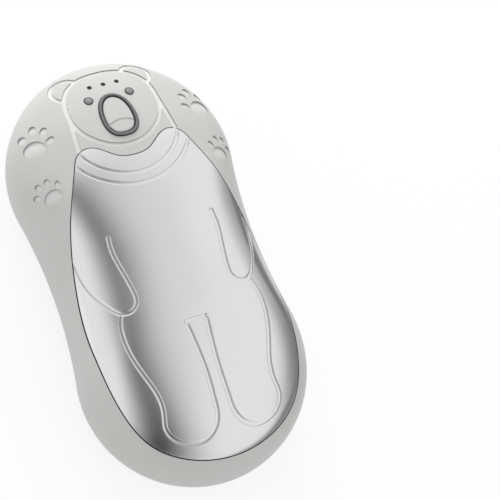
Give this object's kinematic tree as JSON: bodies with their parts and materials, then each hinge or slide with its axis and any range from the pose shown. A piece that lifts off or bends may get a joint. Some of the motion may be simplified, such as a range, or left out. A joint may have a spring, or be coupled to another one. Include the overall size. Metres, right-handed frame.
{
  "type": "rechargeable hand warmer",
  "caption": "Palm-sized domed hand warmer with a waisted outline, a curved metal heating plate drawn as a bear, a nose-shaped power button and a rear metal panel.",
  "frame": {"origin": "middle of the flat land of the rear rim, on which the warmer lies", "axes": "+Z out of the domed front, +Y to the head end with the charging socket, +X to the right seen from the front"},
  "size_m": [0.0616, 0.12, 0.03],
  "materials": {
    "shell_plastic": "satin moulded plastic, warm off-white",
    "plate_aluminium": "fine satin aluminium",
    "bond": "cured adhesive sheet",
    "heater_film": "amber polyimide film",
    "fibre_board": "stiff glass-fibre board",
    "tray_plastic": "plain moulded plastic",
    "cell_pouch": "laminated foil pouch",
    "circuit_board": "green solder mask",
    "red_wire": "soft insulation",
    "black_wire": "soft insulation",
    "white_wire": "soft insulation",
    "black_plastic": "moulded plastic",
    "ferrite": "pressed ferrite",
    "steel": "plated steel",
    "ring_plastic": "glossy dark grey plastic",
    "eye_plastic": "mid grey plastic",
    "light_guide": "smoked clear plastic",
    "led_lens": "clear epoxy"
  },
  "bodies": {
    "housing": {"outer_shell": "shell_plastic", "back_cover": "shell_plastic", "front_plate": "plate_aluminium", "rear_plate": "plate_aluminium", "front_plate_bond": "bond", "rear_plate_bond": "bond", "front_heater_film": "heater_film", "rear_heater_film": "heater_film", "front_heat_shield": "fibre_board", "rear_heat_shield": "fibre_board", "battery_tray": "tray_plastic", "front_cell": "cell_pouch", "rear_cell": "cell_pouch", "cell_spacer": "bond", "safety_board": "circuit_board", "positive_lead": "red_wire", "negative_lead": "black_wire", "front_heater_leads": "white_wire", "rear_heater_leads": "white_wire", "control_board": "circuit_board", "controller_chip": "black_plastic", "power_coil": "ferrite", "port_shell": "steel", "port_tongue": "black_plastic", "switch_body": "black_plastic", "nose_ring": "ring_plastic", "left_eye": "eye_plastic", "right_eye": "eye_plastic", "light_guide": "light_guide", "indicator_leds": "led_lens", "case_screws": "steel", "board_screws": "steel"},
    "nose_button": {"nose_button": "shell_plastic"},
    "switch_plunger": {"switch_plunger": "black_plastic"}
  },
  "joints": [
    {"name": "nose_press", "type": "slide", "parent": "housing", "child": "nose_button", "axis": [0, 0, -1], "range_m": [0, 0.0005], "stiffness_N_per_m": 2000},
    {"name": "plunger_press", "type": "slide", "parent": "housing", "child": "switch_plunger", "axis": [0, 0, -1], "range_m": [0, 0.0005]}
  ],
  "couplings": [
    {"joint": "plunger_press", "follows": "nose_press", "ratio": 1}
  ]
}
